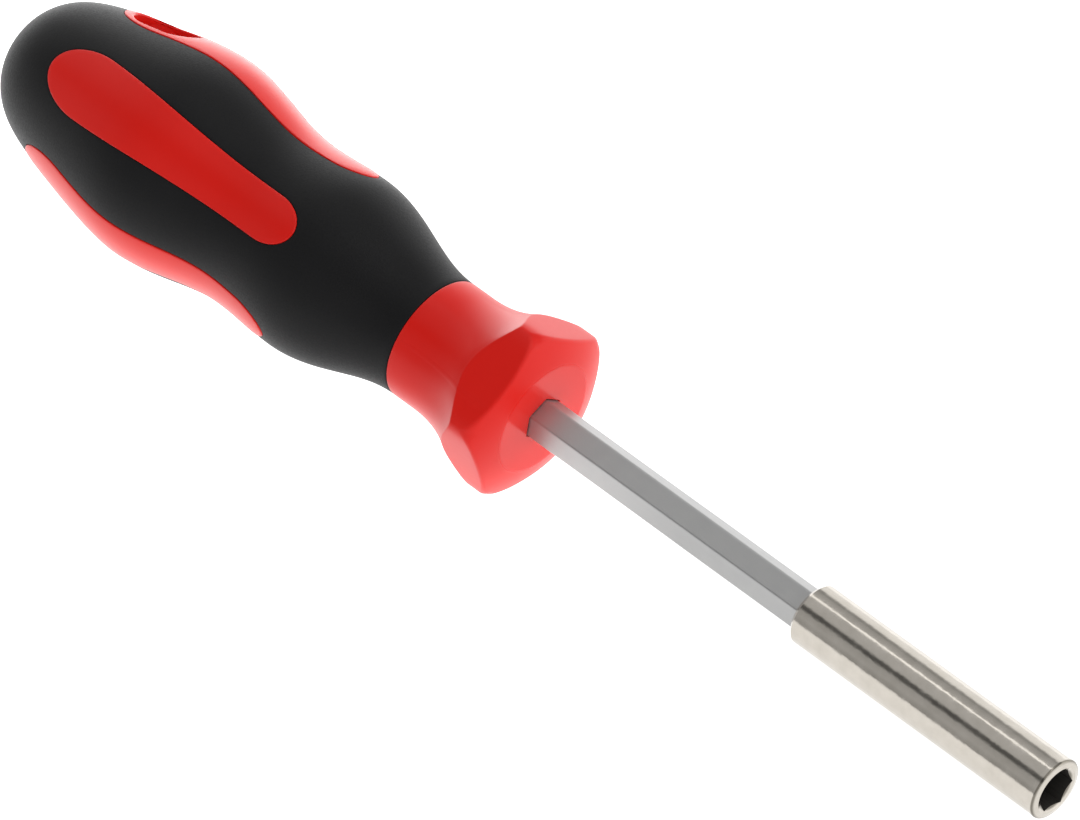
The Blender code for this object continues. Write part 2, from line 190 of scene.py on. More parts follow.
plated_shank.data.materials.append(satin_chrome)
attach(plated_shank, "root")
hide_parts("hex_shank")

# Bit sleeve
# A round sleeve turned from steel bar and polished, pressed over the shank's spigot. Its rear edge
# is chamfered, its mouth has a low lip, and its socket is a broached hex with a countersunk mouth.
SLEEVE_CHAMFER = 0.65 * MM
SLEEVE_SIDES = 128
SLEEVE_CREASE = math.radians(28)
NOSE_REACH = 0.93 * MM
NOSE_LEAN = math.radians(15)
LIP_LENGTH = 1.2 * MM
LIP_RISE = 0.07 * MM
LIP_EDGE = 0.45 * MM
LIP_EDGE_STEPS = 6
SOCKET_ACROSS_FLATS = 6.5 * MM
SOCKET_CORNER_RADIUS = SOCKET_ACROSS_FLATS / math.sqrt(3)
SOCKET_CORNER_TURN = math.radians(21.6)
COUNTERSINK_RADIUS = 4.05 * MM
COUNTERSINK_SLOPE = 0.55
BROACHING_ALLOWANCE = 0.1 * MM
PILOT_RADIUS = SOCKET_ACROSS_FLATS / 2 - BROACHING_ALLOWANCE
RING_WIRE = 0.6 * MM
RING_SINK = 0.05 * MM
RING_RADIUS = SOCKET_CORNER_RADIUS - RING_SINK
MAGNET_RADIUS = 2.5 * MM
PRESS_FIT = 0.03 * MM

magnet_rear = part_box("magnet")[0].x
magnet_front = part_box("magnet")[1].x
ring_middle = (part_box("retaining_ring")[0].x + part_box("retaining_ring")[1].x) / 2
lip_radius = (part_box("bit_sleeve")[1].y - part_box("bit_sleeve")[0].y) / 2
sleeve_radius = lip_radius - LIP_RISE
nose_front = sleeve_front + NOSE_REACH
lip_rear = nose_front - LIP_LENGTH
groove_radius = RING_RADIUS + RING_WIRE
pocket_rear = (magnet_rear + spigot_front) / 2
pilot_top = nose_front - COUNTERSINK_SLOPE * (COUNTERSINK_RADIUS - PILOT_RADIUS)
nose_start = lip_radius - LIP_EDGE + LIP_EDGE * math.sin(NOSE_LEAN)
nose_drop = math.tan(NOSE_LEAN) * (nose_start - COUNTERSINK_RADIUS)
lip_front = nose_front - nose_drop - LIP_EDGE * math.cos(NOSE_LEAN)


def open_in_edit_mode(name, points, edges, faces):
    """Make a piece from points, edges and faces, and open it in edit mode with all of it selected."""
    mesh = bpy.data.meshes.new(name)
    mesh.from_pydata(points, edges, faces)
    piece = bpy.data.objects.new(name, mesh)
    bpy.context.scene.collection.objects.link(piece)
    bpy.ops.object.select_all(action="DESELECT")
    bpy.context.view_layer.objects.active = piece
    piece.select_set(True)
    bpy.ops.object.mode_set(mode="EDIT")
    bpy.ops.mesh.select_all(action="SELECT")
    return piece


def close_seams(distance):
    """Merge the points of the open piece that lie within a distance, and turn its faces outwards."""
    bpy.ops.mesh.select_all(action="SELECT")
    bpy.ops.mesh.remove_doubles(threshold=distance)
    bpy.ops.mesh.normals_make_consistent(inside=False)
    bpy.ops.object.mode_set(mode="OBJECT")


# The sleeve's section as (radius, height) points, which is spun round the upright axis.
outline = [
    (SPIGOT_RADIUS + PRESS_FIT, sleeve_rear),
    (sleeve_radius - SLEEVE_CHAMFER, sleeve_rear),
    (sleeve_radius, sleeve_rear + SLEEVE_CHAMFER),
    (sleeve_radius, lip_rear - LIP_EDGE),
    (sleeve_radius, lip_rear),
    (lip_radius, lip_rear + LIP_EDGE)]
for step in range(LIP_EDGE_STEPS + 1):
    angle = (math.pi / 2 - NOSE_LEAN) * step / LIP_EDGE_STEPS
    outline.append((lip_radius - LIP_EDGE + LIP_EDGE * math.cos(angle),
                    lip_front + LIP_EDGE * math.sin(angle)))
outline += [
    (COUNTERSINK_RADIUS, nose_front),
    (PILOT_RADIUS, pilot_top),
    (PILOT_RADIUS, ring_middle + RING_WIRE),
    (groove_radius, ring_middle + RING_WIRE),
    (groove_radius, ring_middle - RING_WIRE),
    (PILOT_RADIUS, ring_middle - RING_WIRE),
    (PILOT_RADIUS, magnet_front),
    (MAGNET_RADIUS + PRESS_FIT, magnet_front),
    (MAGNET_RADIUS + PRESS_FIT, pocket_rear),
    (SPIGOT_RADIUS + PRESS_FIT, pocket_rear)]
turned_sleeve = open_in_edit_mode(
    "turned_sleeve", [(radius, 0, height) for radius, height in outline],
    [(i, (i + 1) % len(outline)) for i in range(len(outline))], [])
bpy.ops.mesh.spin(steps=SLEEVE_SIDES, angle=2 * math.pi, center=(0, 0, 0), axis=(0, 0, 1))
close_seams(NEAR)
bpy.ops.object.select_all(action="DESELECT")
bpy.ops.mesh.primitive_cylinder_add(
    vertices=HEX_SIDES, radius=SOCKET_CORNER_RADIUS, depth=2 * (nose_front - magnet_front),
    location=(0, 0, nose_front), rotation=(0, 0, SOCKET_CORNER_TURN - math.pi / 2))
broach = bpy.context.object
broach.name = "broach"
cut = turned_sleeve.modifiers.new("socket", "BOOLEAN")
cut.object = broach
bpy.context.view_layer.objects.active = turned_sleeve
bpy.ops.object.modifier_apply(modifier="socket")
bpy.data.objects.remove(broach)
bpy.ops.object.select_all(action="DESELECT")
turned_sleeve.select_set(True)
bpy.ops.object.shade_smooth_by_angle(angle=SLEEVE_CREASE)

# Polished turned steel: a clear mirror with a warm grey tint, a slightly wavy skin, fine lines along
# the sleeve from the polishing belt, faint dull patches, and a painted dark reflection: the tint is
# darkened in a thin line round the lip's rounded edge.
BELT_LINE_SPACING = 0.25 * MM
BELT_LINE_STRETCH = 0.03
PATCH_SIZE = 2.5 * MM
WAVE_SIZE = 1.6 * MM
# Painted dark reflection round the lip: full darkening within the first distance of its line, none past
# the second.
DARK_REFLECTION_FULL = 0.1 * MM
DARK_REFLECTION_END = 0.25 * MM
polished_steel, tree, shader, place = new_material("polished_turned_steel")
along = add_node(tree, "ShaderNodeMapping", {
    "Vector": place, "Scale": (BELT_LINE_STRETCH, 1, 1)}).outputs["Vector"]
lines = add_node(tree, "ShaderNodeTexNoise", {
    "Vector": along, "Scale": 1 / BELT_LINE_SPACING, "Detail": 4.0}).outputs["Fac"]
patches = add_node(tree, "ShaderNodeTexNoise", {
    "Vector": place, "Scale": 1 / PATCH_SIZE, "Detail": 5.0}).outputs["Fac"]
mirror = add_node(tree, "ShaderNodeMix", {
    "Factor": patches, "A": linear("#BBB5AB"), "B": linear("#D2CCC3")}, data_type="RGBA")
forward = add_node(tree, "ShaderNodeSeparateXYZ", {"Vector": place}).outputs["X"]
# Painted dark reflection: the tint turns a darker grey in a thin line round the lip's rounded edge.
past_line = add_node(tree, "ShaderNodeMath", {
    0: forward, 1: lip_front + LIP_EDGE / 2}, operation="SUBTRACT")
from_line = add_node(tree, "ShaderNodeMath", {0: past_line.outputs["Value"]}, operation="ABSOLUTE")
painted_dark_reflection = add_node(tree, "ShaderNodeMapRange", {
    "Value": from_line.outputs["Value"], "From Min": DARK_REFLECTION_FULL, "From Max": DARK_REFLECTION_END,
    "To Min": 1.0, "To Max": 0.0})
tint = add_node(tree, "ShaderNodeMix", {
    "Factor": painted_dark_reflection.outputs["Result"], "A": mirror.outputs["Result"],
    "B": linear("#7A756C")}, data_type="RGBA")
dullness = add_node(tree, "ShaderNodeMapRange", {
    "Value": patches, "From Min": 0.3, "From Max": 0.7, "To Min": 0.10, "To Max": 0.18})
waves = add_node(tree, "ShaderNodeTexNoise", {
    "Vector": place, "Scale": 1 / WAVE_SIZE, "Detail": 2.0}).outputs["Fac"]
rolling = add_node(tree, "ShaderNodeBump", {"Height": waves, "Strength": 0.8, "Distance": 0.04 * MM})
relief = add_node(tree, "ShaderNodeBump", {
    "Height": lines, "Strength": 0.15, "Distance": 0.01 * MM, "Normal": rolling.outputs["Normal"]})
fill_sockets(tree, shader, {
    "Base Color": tint.outputs["Result"], "Metallic": 1.0,
    "Roughness": dullness.outputs["Result"], "Normal": relief.outputs["Normal"]})

# Broached steel inside the socket: dull, with coarse lines along it, and tinted dark as painted shade,
# standing in for the shade deep in the socket.
BROACH_LINE_SPACING = 0.25 * MM
BROACH_LINE_STRETCH = 0.05
OUTWARD_SLOPE = 0.2
socket_steel_with_painted_shade, tree, shader, place = new_material("painted_shade_socket_steel")
along = add_node(tree, "ShaderNodeMapping", {
    "Vector": place, "Scale": (BROACH_LINE_STRETCH, 1, 1)}).outputs["Vector"]
lines = add_node(tree, "ShaderNodeTexNoise", {
    "Vector": along, "Scale": 1 / BROACH_LINE_SPACING, "Detail": 3.0}).outputs["Fac"]
# Painted shade: the dark tint stands in for the shade inside the socket.
tint = add_node(tree, "ShaderNodeMix", {
    "Factor": lines, "A": linear("#34322F"), "B": linear("#524F4B")}, data_type="RGBA")
relief = add_node(tree, "ShaderNodeBump", {"Height": lines, "Strength": 0.3, "Distance": 0.02 * MM})
fill_sockets(tree, shader, {
    "Base Color": tint.outputs["Result"], "Metallic": 0.6, "Roughness": 0.5,
    "Normal": relief.outputs["Normal"]})
turned_sleeve.data.materials.append(polished_steel)
turned_sleeve.data.materials.append(socket_steel_with_painted_shade)

# The dark steel with the painted shade covers the socket, apart from the countersink, which faces out
# and is polished.
for face in turned_sleeve.data.polygons:
    in_socket = face.center.z > magnet_rear and face.center.xy.length < groove_radius + PRESS_FIT
    facing_out = face.normal.z > OUTWARD_SLOPE and face.center.z > ring_middle + 2 * RING_WIRE
    face.material_index = 1 if in_socket and not facing_out else 0
lay_along_tool(turned_sleeve)
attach(turned_sleeve, "root")
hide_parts("bit_sleeve")

# Magnet
# A disc magnet that holds the bit's end, pressed from powder and plated with nickel. It is pushed into
# its pocket at the bottom of the socket, flush with it.
MAGNET_EDGE = 0.25 * MM
MAGNET_EDGE_STEPS = 4
MAGNET_SIDES = 64
MAGNET_CREASE = math.radians(35)
bpy.ops.object.select_all(action="DESELECT")
bpy.ops.mesh.primitive_cylinder_add(
    vertices=MAGNET_SIDES, radius=MAGNET_RADIUS, depth=magnet_front - magnet_rear,
    location=(0, 0, (magnet_front + magnet_rear) / 2))
disc_magnet = bpy.context.object
disc_magnet.name = "disc_magnet"
bpy.ops.object.transform_apply(location=True)
bpy.ops.object.mode_set(mode="EDIT")
pick(disc_magnet, "EDGE", lambda ends: abs(ends[0].z - ends[1].z) < NEAR)
bpy.ops.mesh.bevel(offset=MAGNET_EDGE, segments=MAGNET_EDGE_STEPS, affect="EDGES")
bpy.ops.object.mode_set(mode="OBJECT")
bpy.ops.object.shade_smooth_by_angle(angle=MAGNET_CREASE)
lay_along_tool(disc_magnet)

# Bright nickel plating over pressed powder: a clear mirror, softened by a fine pebbled skin.
PEBBLE_SIZE = 0.2 * MM
nickel_plating, tree, shader, place = new_material("bright_nickel_plating")
pebbles = add_node(tree, "ShaderNodeTexNoise", {
    "Vector": place, "Scale": 1 / PEBBLE_SIZE, "Detail": 3.0}).outputs["Fac"]
tint = add_node(tree, "ShaderNodeMix", {
    "Factor": pebbles, "A": linear("#B9B4A8"), "B": linear("#C9C5BB")}, data_type="RGBA")
relief = add_node(tree, "ShaderNodeBump", {"Height": pebbles, "Strength": 0.15, "Distance": 0.01 * MM})
fill_sockets(tree, shader, {
    "Base Color": tint.outputs["Result"], "Metallic": 1.0, "Roughness": 0.22,
    "Normal": relief.outputs["Normal"]})
disc_magnet.data.materials.append(nickel_plating)
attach(disc_magnet, "root")
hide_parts("magnet")

# Retaining ring
# An open ring of spring wire, sprung into the groove half way down the socket, where it grips the
# corners of a bit.
RING_OPENING = math.radians(40)
RING_STEPS = 72
RING_CREASE = math.radians(40)
WIRE_SIDES = 16
bpy.ops.object.select_all(action="DESELECT")
bpy.ops.mesh.primitive_torus_add(
    major_radius=RING_RADIUS, minor_radius=RING_WIRE / 2, major_segments=RING_STEPS,
    minor_segments=WIRE_SIDES, location=(0, 0, ring_middle))
spring_ring = bpy.context.object
spring_ring.name = "spring_ring"
bpy.ops.object.transform_apply(location=True)
bpy.ops.object.mode_set(mode="EDIT")
pick(spring_ring, "FACE", lambda corners: all(
    abs(math.atan2(p.y, p.x)) < RING_OPENING / 2 + NEAR for p in corners))
bpy.ops.mesh.delete(type="FACE")
bpy.ops.mesh.select_all(action="SELECT")
bpy.ops.mesh.fill_holes(sides=WIRE_SIDES)
bpy.ops.mesh.normals_make_consistent(inside=False)
bpy.ops.object.mode_set(mode="OBJECT")
bpy.ops.object.shade_smooth_by_angle(angle=RING_CREASE)
lay_along_tool(spring_ring)

# Hard-drawn spring wire: dark blue-grey steel with a fine mottled skin.
MOTTLE_SIZE = 0.15 * MM
spring_wire, tree, shader, place = new_material("hard_drawn_spring_wire")
mottle = add_node(tree, "ShaderNodeTexNoise", {
    "Vector": place, "Scale": 1 / MOTTLE_SIZE, "Detail": 2.0}).outputs["Fac"]
tint = add_node(tree, "ShaderNodeMix", {
    "Factor": mottle, "A": linear("#5E6064"), "B": linear("#74767A")}, data_type="RGBA")
relief = add_node(tree, "ShaderNodeBump", {"Height": mottle, "Strength": 0.15, "Distance": 0.01 * MM})
fill_sockets(tree, shader, {
    "Base Color": tint.outputs["Result"], "Metallic": 1.0, "Roughness": 0.3,
    "Normal": relief.outputs["Normal"]})
spring_ring.data.materials.append(spring_wire)
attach(spring_ring, "root")
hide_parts("retaining_ring")

# Handle body
# Hard red plastic, moulded round the tang as the first shot: five long lands, a neck that flares to a
# collar with five flats, and a hanging hole through two lands. It is skinned in closed rings of points.
FLAT_COUNT = 5
SECTOR = 2 * math.pi / FLAT_COUNT
FACE_RADIUS = 9.4 * MM
FACE_RISE = 2.55 * MM
SHOULDER_BULGE = 0.32 * MM
COLLAR_RADIUS = 15.7 * MM
COLLAR_APOTHEM = 13.2 * MM
COLLAR_CORNER_SOFTNESS = 0.8 * MM
COLLAR_EDGE = 0.2 * MM
SHOULDER_EDGE = 0.55 * MM
CORNER_EDGE = 1.2 * MM
CORNER_EDGE_POWER = 8
RIM_WIDTH = 3.15 * MM
FLARE_LENGTH = 14.1 * MM
FLARE_CURVE = 2.45
NECK_RADIUS = 10.42 * MM
NECK_LENGTH = 3.6 * MM
NECK_EDGE = 0.25 * MM
FINGER_RADIUS = 15.55 * MM
FINGER_LENGTH = 22.7 * MM
WAIST_RADIUS = 14.95 * MM
WAIST_LENGTH = 10.7 * MM
PALM_LENGTH = 20.5 * MM
DOME_TAPER = 0.4
DOME_CREST = 0.2
DOME_FULLNESS = 9
WINDOW_END_WALL = 13.6 * MM
WINDOW_LENGTH = 52.9 * MM
WINDOW_REAR_HALF = 5.57 * MM
WINDOW_REAR_END = 9.5 * MM
WINDOW_FRONT_HALF = 4.02 * MM
WINDOW_FRONT_END = 5.8 * MM
WINDOW_TAPER_END = 0.88
WINDOW_MARGIN = 4 * MM
LAND_EDGE = 0.18 * MM
LAND_GAP = 0.04 * MM
LAND_RISE = 0.12 * MM
CORE_DEPTH = 2.6 * MM
HOLE_REAR_RIM = 1.8 * MM
HOLE_LENGTH = 12.0 * MM
HOLE_HALF_WIDTH = 4.2 * MM
HOLE_EDGE = 0.35 * MM
HOLE_WINDOWS = (0, 2)
PARTING_LINE_TURN = math.radians(234)
PARTING_LINE_HEIGHT = 0.06 * MM
TANG_CLEARANCE = 0.06 * MM
SEAT_CHAMFER = 0.16 * MM
SEAT_CHAMFER_DEPTH = 2 * SEAT_CHAMFER
HANDLE_CREASE = math.radians(50)
HANDLE_SEAM = 0.002 * MM

# Mesh fineness
SIDE_STEPS = 48
RING_POINTS = FLAT_COUNT * SIDE_STEPS
DOME_LINE_POINTS = 240
GRIP_LINE_POINTS = 900
SHOULDER_LINE_POINTS = 200
DOME_STEPS = 32
FRONT_STEPS = 28
UNDER_STEPS = 6
LAND_STEPS = 10
HOLE_STEPS = 16
NECK_STEPS = 4
FLARE_STEPS = 24
LENS_STEPS = 8
SHOULDER_STEPS = 12
FACE_STEPS = 6
EDGE_STEPS = 4
CORNER_STEPS = 5
SHOULDER_EDGE_STEPS = 8

collar_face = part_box("handle_body")[1].x
grip_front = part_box("soft_grip")[1].x
dome_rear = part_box("soft_grip")[0].x
palm_radius = (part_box("soft_grip")[1].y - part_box("soft_grip")[0].y) / 2
rim_front = collar_face - FACE_RISE
rim_rear = rim_front - RIM_WIDTH
flare_rear = rim_rear - FLARE_LENGTH
finger_middle = grip_front - FINGER_LENGTH
waist_middle = finger_middle - WAIST_LENGTH
palm_middle = waist_middle - PALM_LENGTH
dome_length = palm_middle - dome_rear
window_rear = dome_rear + WINDOW_END_WALL
window_front = window_rear + WINDOW_LENGTH
hole_rear = window_rear + HOLE_REAR_RIM
hole_front = hole_rear + HOLE_LENGTH


def grip_radius(x):
    """The handle's radius at a place along the tool, from the domed end to the front of the grip."""
    if x <= palm_middle:
        share = (palm_middle - x) / dome_length
        taper = (math.hypot(share, DOME_CREST) - DOME_CREST) / (math.hypot(1, DOME_CREST) - DOME_CREST)
        return palm_radius * (1 - DOME_TAPER * taper) * math.sqrt(max(0.0, 1 - share ** DOME_FULLNESS))
    swells = [(palm_middle, palm_radius), (waist_middle, WAIST_RADIUS),
              (finger_middle, FINGER_RADIUS), (grip_front, NECK_RADIUS)]
    for (rear, rear_radius), (front, front_radius) in zip(swells, swells[1:]):
        if x <= front:
            blend = (1 - math.cos(math.pi * (x - rear) / (front - rear))) / 2
            return rear_radius + (front_radius - rear_radius) * blend
    return NECK_RADIUS


# The handle's side line, finely stepped, with the direction that faces out of it at each step. At the
# pole of the dome that is straight back.
line_x = np.concatenate([
    palm_middle - dome_length * np.cos(np.linspace(0, math.pi / 2, DOME_LINE_POINTS)),
    np.linspace(palm_middle, grip_front, GRIP_LINE_POINTS)[1:]])
line_r = np.array([grip_radius(x) for x in line_x])
step_x = np.gradient(line_x)
step_r = np.gradient(line_r)
step_length = np.hypot(step_x, step_r)
out_x = -step_r / step_length
out_r = step_x / step_length
out_x[0] = -1
out_r[0] = 0


def around(x, r, turn):
    """Points of the tool at a place along it, a radius and a turn from straight down."""
    x, r, turn = np.broadcast_arrays(x, r, turn)
    return np.stack([x, r * np.sin(turn), axis_height - r * np.cos(turn)], axis=-1)


def on_handle(x, turn, height):
    """Points at a height above the handle's side line."""
    out_along = np.interp(x, line_x, out_x)
    out_across = np.interp(x, line_x, out_r)
    return around(x + height * out_along, np.interp(x, line_x, line_r) + height * out_across, turn)


def shares(count):
    """A number of even steps from 0 to 1, without the 0."""
    return np.linspace(0, 1, count + 1)[1:]


def oval(rear, front, rear_half, front_half, rear_end, front_end):
    """A long oval as places along the tool and offsets across it: rear end, side, front end, side."""
    share = np.arange(SIDE_STEPS) / SIDE_STEPS
    narrowing = (1 - np.cos(math.pi * np.minimum(1, share / WINDOW_TAPER_END))) / 2
    widening = (1 + np.cos(math.pi * np.minimum(1, (1 - share) / WINDOW_TAPER_END))) / 2
    rear_turn = math.pi * (0.5 + share)
    front_turn = math.pi * (share - 0.5)
    rear_line = rear + rear_end
    front_line = front - front_end
    x = np.concatenate([
        rear_line + rear_end * np.cos(rear_turn),
        rear_line + (front_line - rear_line) * share,
        front_line + front_end * np.cos(front_turn),
        front_line + (rear_line - front_line) * share])
    offset = np.concatenate([
        rear_half * np.sin(rear_turn),
        -rear_half - (front_half - rear_half) * narrowing,
        front_half * np.sin(front_turn),
        front_half + (rear_half - front_half) * widening])
    return x, offset


def window_oval(inset):
    """A window's outline, drawn in by an inset."""
    return oval(window_rear + inset, window_front - inset, WINDOW_REAR_HALF - inset,
                WINDOW_FRONT_HALF - inset, WINDOW_REAR_END - inset, WINDOW_FRONT_END - inset)


def window_turns(x, offset):
    """The turns, from a window's middle line, of offsets across the handle."""
    return np.arcsin(offset / np.interp(x, line_x, line_r))


# The edge of one fifth of the handle, with as many points as a window's outline.
side_share = np.arange(SIDE_STEPS) / SIDE_STEPS
sector_rear = window_rear - WINDOW_MARGIN
sector_front = window_front + WINDOW_MARGIN
sector_x = np.concatenate([
    np.full(SIDE_STEPS, sector_rear), sector_rear + (sector_front - sector_rear) * side_share,
    np.full(SIDE_STEPS, sector_front), sector_front + (sector_rear - sector_front) * side_share])
sector_turn = SECTOR * np.concatenate([
    0.5 - side_share, np.full(SIDE_STEPS, -0.5), side_share - 0.5, np.full(SIDE_STEPS, 0.5)])


def sector_to_window(middle, inset, height, steps, side=1):
    """Rings from the edge of one fifth of the handle in to its window's outline."""
    x, offset = window_oval(inset)
    turn = window_turns(x, offset)
    return [on_handle(sector_x + (x - sector_x) * s,
                      middle + side * (sector_turn + (turn - sector_turn) * s), height)
            for s in np.linspace(0, 1, steps + 1)]


def edge_rings(middle, inset, edge, inward, rise=0.0, side=1):
    """Rings down a window's rounded edge, whose top lies inward (1) or outward (-1) of its outline."""
    rings = []
    for angle in np.linspace(0, math.pi / 2, EDGE_STEPS + 1):
        x, offset = window_oval(inset + edge * inward * (1 - math.sin(angle)))
        turn = middle + side * window_turns(x, offset)
        rings.append(on_handle(x, turn, rise - edge * (1 - math.cos(angle))))
    return rings


def skin_rings(name, chains):
    """Join chains of closed rings of points into one closed mesh, and merge them where they meet."""
    points, faces = [], []
    for chain in chains:
        size = len(chain[0])
        for number, ring in enumerate(chain):
            base = len(points)
            points.extend(ring.tolist())
            if number:
                faces += [(base - size + i, base - size + (i + 1) % size, base + (i + 1) % size, base + i)
                          for i in range(size)]
    piece = open_in_edit_mode(name, points, [], faces)
    close_seams(HANDLE_SEAM)
    bpy.ops.object.shade_smooth_by_angle(angle=HANDLE_CREASE)
    return piece


ring_turns = SECTOR * (0.5 - np.arange(RING_POINTS) / SIDE_STEPS)


def handle_rings(places, height):
    """Whole rings round the handle at places along it."""
    return [on_handle(np.full(RING_POINTS, x), ring_turns, height) for x in places]


dome_places = palm_middle - dome_length * np.cos(
    np.linspace(0, math.acos((palm_middle - sector_rear) / dome_length), DOME_STEPS + 1))
front_places = np.linspace(sector_front, grip_front, FRONT_STEPS + 1)

# Lands: out of the core, up the wall, over the rounded edge and in to the middle line. The two with
# the hanging hole go on to its rounded mouth and through to each other.
chains = [handle_rings(dome_places, -CORE_DEPTH)]
hole_direction_turn = SECTOR * sum(HOLE_WINDOWS) / 2 - math.pi / 2
hole_across_turn = hole_direction_turn + math.pi / 2
hole_middle_radius = np.interp((hole_rear + hole_front) / 2, line_x, line_r)
hole_offset = hole_middle_radius * math.cos(SECTOR * (HOLE_WINDOWS[1] - HOLE_WINDOWS[0]) / 2)
hole_chain = []
for window in range(FLAT_COUNT):
    middle = SECTOR * window
    side = -1 if window == HOLE_WINDOWS[1] else 1
    rings = sector_to_window(middle, LAND_GAP, -CORE_DEPTH, UNDER_STEPS, side)
    rings += edge_rings(middle, LAND_GAP, LAND_EDGE, 1, LAND_RISE, side)[::-1]
    x, offset = window_oval(LAND_GAP + LAND_EDGE)
    turn = window_turns(x, offset)
    if window not in HOLE_WINDOWS:
        spine = np.clip(x, window_rear + WINDOW_REAR_END, window_front - WINDOW_FRONT_END)
        rings += [on_handle(x + (spine - x) * s, middle + turn * (1 - s), LAND_RISE)
                  for s in shares(LAND_STEPS)]
        chains.append(rings)
        continue
    for angle in np.linspace(0, math.pi / 2, EDGE_STEPS + 1):
        grow = HOLE_EDGE * (1 - math.sin(angle))
        half = HOLE_HALF_WIDTH + grow
        hole_x, across = oval(hole_rear - grow, hole_front + grow, half, half, half, half)
        reach = np.interp(hole_x, line_x, line_r)
        off_axis = hole_offset + across
        along_hole = side * np.sqrt(reach ** 2 - off_axis ** 2)
        hole_turn = np.arctan2(
            off_axis * math.sin(hole_across_turn) + along_hole * math.sin(hole_direction_turn),
            off_axis * math.cos(hole_across_turn) + along_hole * math.cos(hole_direction_turn))
        if angle == 0:
            from_middle = (hole_turn - middle + math.pi) % (2 * math.pi) - math.pi
            rings += [on_handle(x + (hole_x - x) * s,
                                middle + side * turn * (1 - s) + from_middle * s, LAND_RISE)
                      for s in shares(HOLE_STEPS)]
        else:
            rings.append(on_handle(hole_x, hole_turn, LAND_RISE - HOLE_EDGE * (1 - math.cos(angle))))
    hole_chain = hole_chain + rings[::-1] if hole_chain else rings
chains.append(hole_chain)

# Neck and collar: each fifth's flat cuts the flare and the shoulder in a lens, with rounded edges.
from_flat = (ring_turns + SECTOR / 2) % SECTOR - SECTOR / 2
flat_radius = COLLAR_APOTHEM / np.cos(from_flat)
spare = flat_radius - COLLAR_RADIUS
side_radius = (flat_radius + COLLAR_RADIUS - np.hypot(spare, COLLAR_CORNER_SOFTNESS)) / 2
flare_share = ((side_radius - NECK_RADIUS) / (COLLAR_RADIUS - NECK_RADIUS)) ** (1 / FLARE_CURVE)
lens_rear = flare_rear + FLARE_LENGTH * flare_share
chord = np.linspace(0, 1, SHOULDER_LINE_POINTS)
slant = math.hypot(COLLAR_RADIUS - FACE_RADIUS, FACE_RISE)
bulge = 4 * SHOULDER_BULGE * chord * (1 - chord)
shoulder_r = COLLAR_RADIUS + (FACE_RADIUS - COLLAR_RADIUS) * chord + bulge * FACE_RISE / slant
shoulder_x = rim_front + FACE_RISE * chord + bulge * (COLLAR_RADIUS - FACE_RADIUS) / slant
shoulder_start = np.interp(-side_radius, -shoulder_r, chord)
lens_front = np.interp(shoulder_start, chord, shoulder_x)


def flare_line(s):
    """A ring of the flare, as places and radii, at a share of its way from the neck to the lens."""
    x = flare_rear + (lens_rear - flare_rear) * s
    opening = ((x - flare_rear) / FLARE_LENGTH) ** FLARE_CURVE
    return x, NECK_RADIUS + (COLLAR_RADIUS - NECK_RADIUS) * opening


def shoulder_line(s):
    """A ring of the shoulder, as places and radii, at a share of its way from the lens to the face."""
    at = shoulder_start + (1 - shoulder_start) * s
    return np.interp(at, chord, shoulder_x), np.interp(at, chord, shoulder_r)


def rounded_corner(before, corner, after, steps=CORNER_STEPS):
    """Rings that ease from one line into the next past a corner, without the first."""
    return [tuple((1 - s) ** 2 * a + 2 * s * (1 - s) * b + s ** 2 * c
                  for a, b, c in zip(before, corner, after))
            for s in shares(steps)]


even = np.ones(RING_POINTS)
seat = even * (grip_front + LAND_GAP)
profile = [(seat, even * (NECK_RADIUS - CORE_DEPTH)), (seat, even * (NECK_RADIUS - NECK_EDGE))]
profile += rounded_corner(profile[-1], (seat, even * NECK_RADIUS), (seat + NECK_EDGE, even * NECK_RADIUS))
neck_length = flare_rear - seat - NECK_EDGE
profile += [(seat + NECK_EDGE + neck_length * s, even * NECK_RADIUS) for s in shares(NECK_STEPS)]
flare_ease = COLLAR_EDGE / (lens_rear - flare_rear)
profile += [flare_line((1 - flare_ease) * s) for s in shares(FLARE_STEPS)]
profile += rounded_corner(profile[-1], (lens_rear, side_radius), (lens_rear + COLLAR_EDGE, side_radius))
shoulder_edge = SHOULDER_EDGE + CORNER_EDGE * (np.abs(from_flat) / (SECTOR / 2)) ** CORNER_EDGE_POWER
lens_length = lens_front - lens_rear - COLLAR_EDGE - shoulder_edge
profile += [(lens_rear + COLLAR_EDGE + lens_length * s, side_radius) for s in shares(LENS_STEPS)]
shoulder_ease = shoulder_edge / slant / (1 - shoulder_start)
face_ease = COLLAR_EDGE / slant / (1 - shoulder_start)
profile += rounded_corner(
    profile[-1], (lens_front, side_radius), shoulder_line(shoulder_ease), SHOULDER_EDGE_STEPS)
profile += [shoulder_line(shoulder_ease + (1 - face_ease - shoulder_ease) * s)
            for s in shares(SHOULDER_STEPS)]
face = even * collar_face
profile += rounded_corner(
    profile[-1], (face, even * FACE_RADIUS), (face, even * (FACE_RADIUS - COLLAR_EDGE)))

